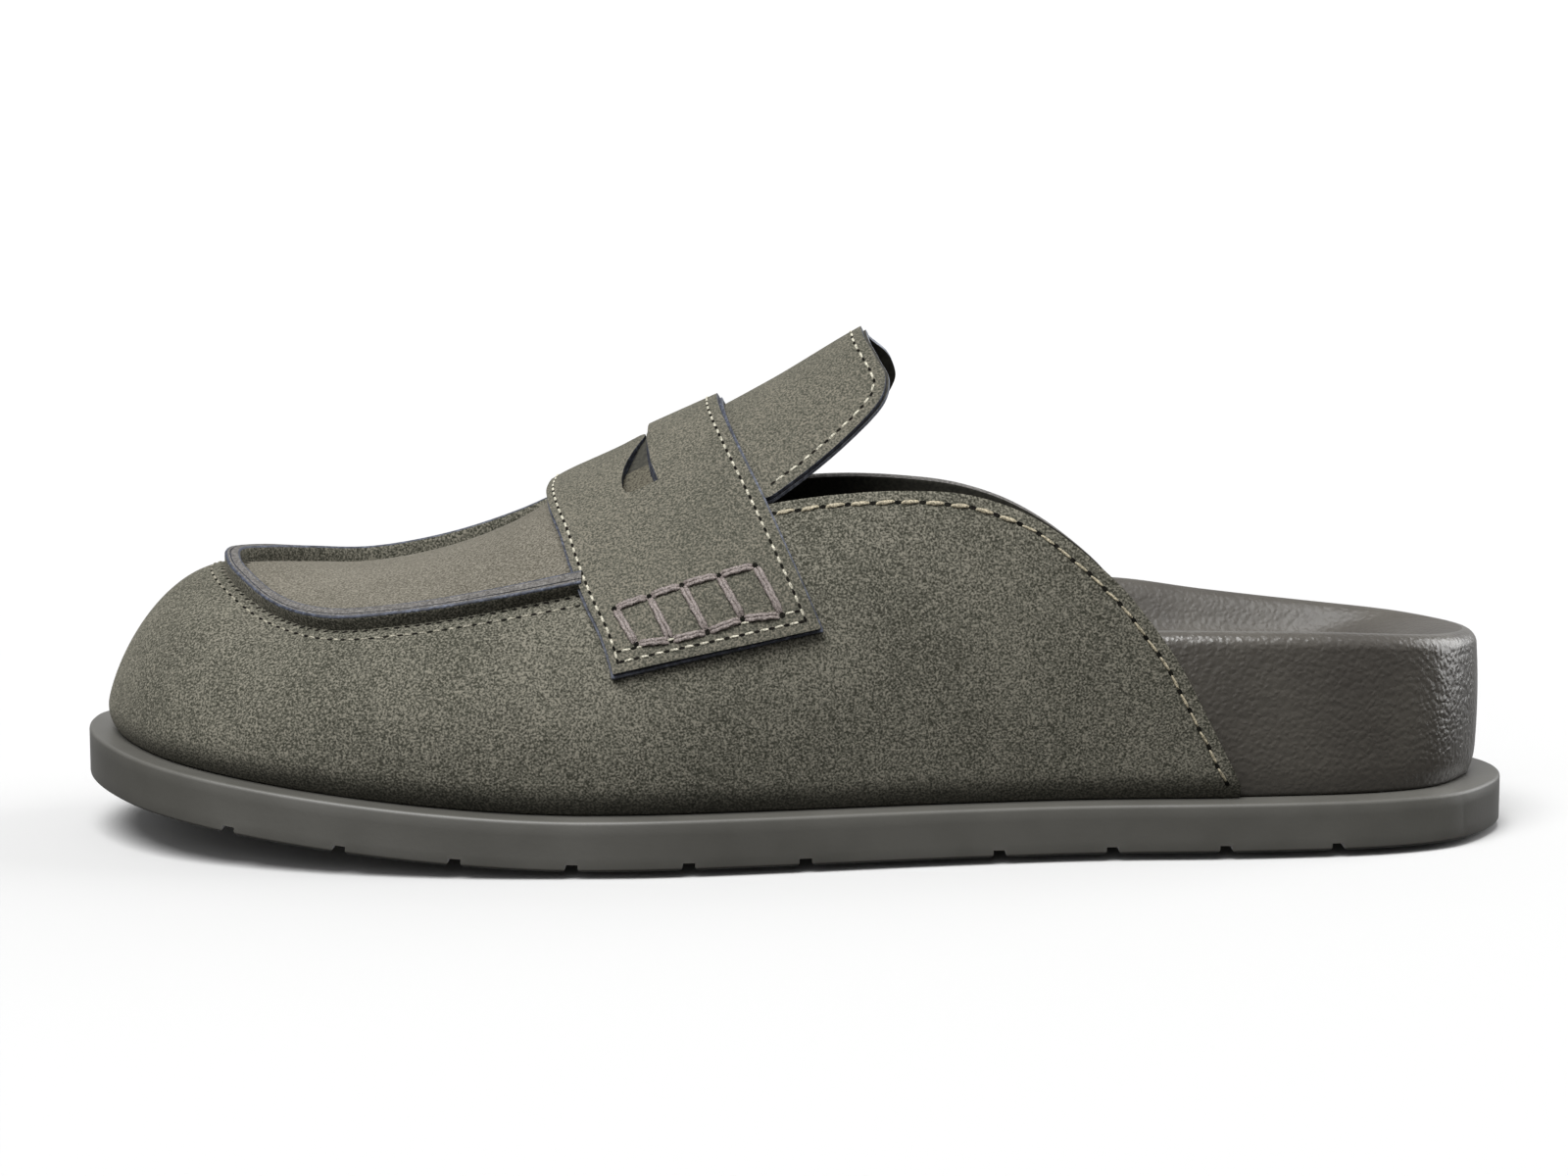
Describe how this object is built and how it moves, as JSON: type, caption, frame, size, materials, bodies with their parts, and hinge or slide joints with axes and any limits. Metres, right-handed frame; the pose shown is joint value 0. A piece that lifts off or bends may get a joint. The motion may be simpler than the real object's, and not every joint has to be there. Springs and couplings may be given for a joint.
{
  "type": "platform mule",
  "caption": "Closed-toe slip-on mule with a moccasin apron seam, penny strap, arched tongue, cupped footbed and flat platform sole",
  "frame": {"origin": "centre of the bounding box's bottom face, on the floor under the sole", "axes": "toe along -X, heel along +X, lateral side -Y, medial side +Y, up +Z"},
  "size_m": [0.29, 0.1117, 0.1004],
  "materials": {
    "outsole": "matte moulded rubber",
    "footbed": "satin pebbled wrap",
    "upper": "matte nubuck",
    "moccasin_seam": "raw painted edge",
    "penny_strap": "matte nubuck",
    "tongue": "matte nubuck"
  },
  "bodies": {
    "root": {"outsole": "outsole", "footbed": "footbed", "upper": "upper", "moccasin_seam": "moccasin_seam", "penny_strap": "penny_strap", "tongue": "tongue"}
  },
  "joints": []
}
